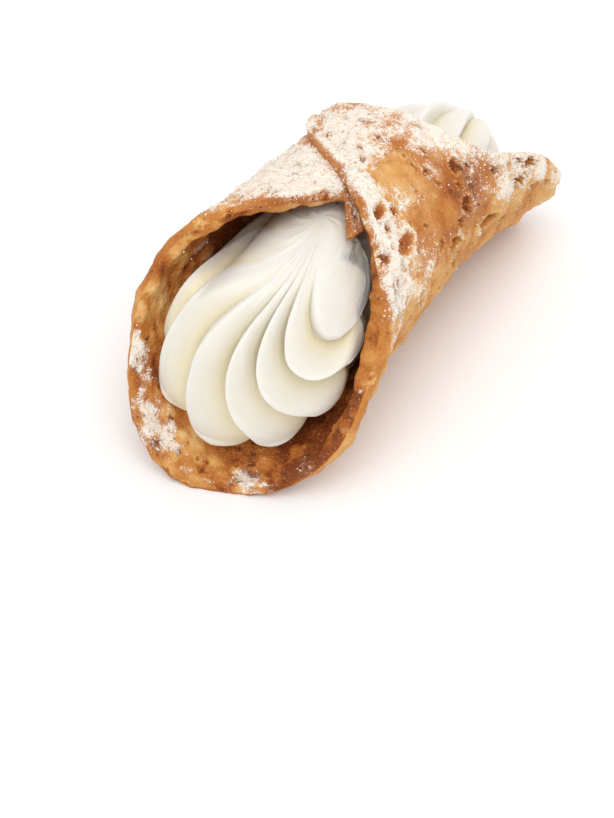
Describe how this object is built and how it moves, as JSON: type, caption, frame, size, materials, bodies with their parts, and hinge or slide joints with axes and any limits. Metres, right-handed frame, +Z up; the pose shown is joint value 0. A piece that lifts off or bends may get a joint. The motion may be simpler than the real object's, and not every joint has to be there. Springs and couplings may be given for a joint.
{
  "type": "filled cannolo pastry",
  "caption": "Filled cannolo: a blistered sheet of fried pastry rolled into a tube with flared lips and a lapped edge, with piped cream swirling out of its open ends.",
  "frame": {"origin": "centre of the bounding box in plan, on the surface that the pastry lies on", "axes": "+Y along the tube from the full front mouth to the back mouth, tipped by about 4 degrees so that both lips touch; +Z up; +X to the right when facing along +Y"},
  "size_m": [0.0495, 0.0981, 0.047],
  "materials": {
    "pastry": "golden fried crust, dry and finely blistered",
    "cream": "smooth ivory cream with a soft sheen"
  },
  "bodies": {
    "root": {"shell": "pastry", "cream": "cream"}
  },
  "joints": []
}
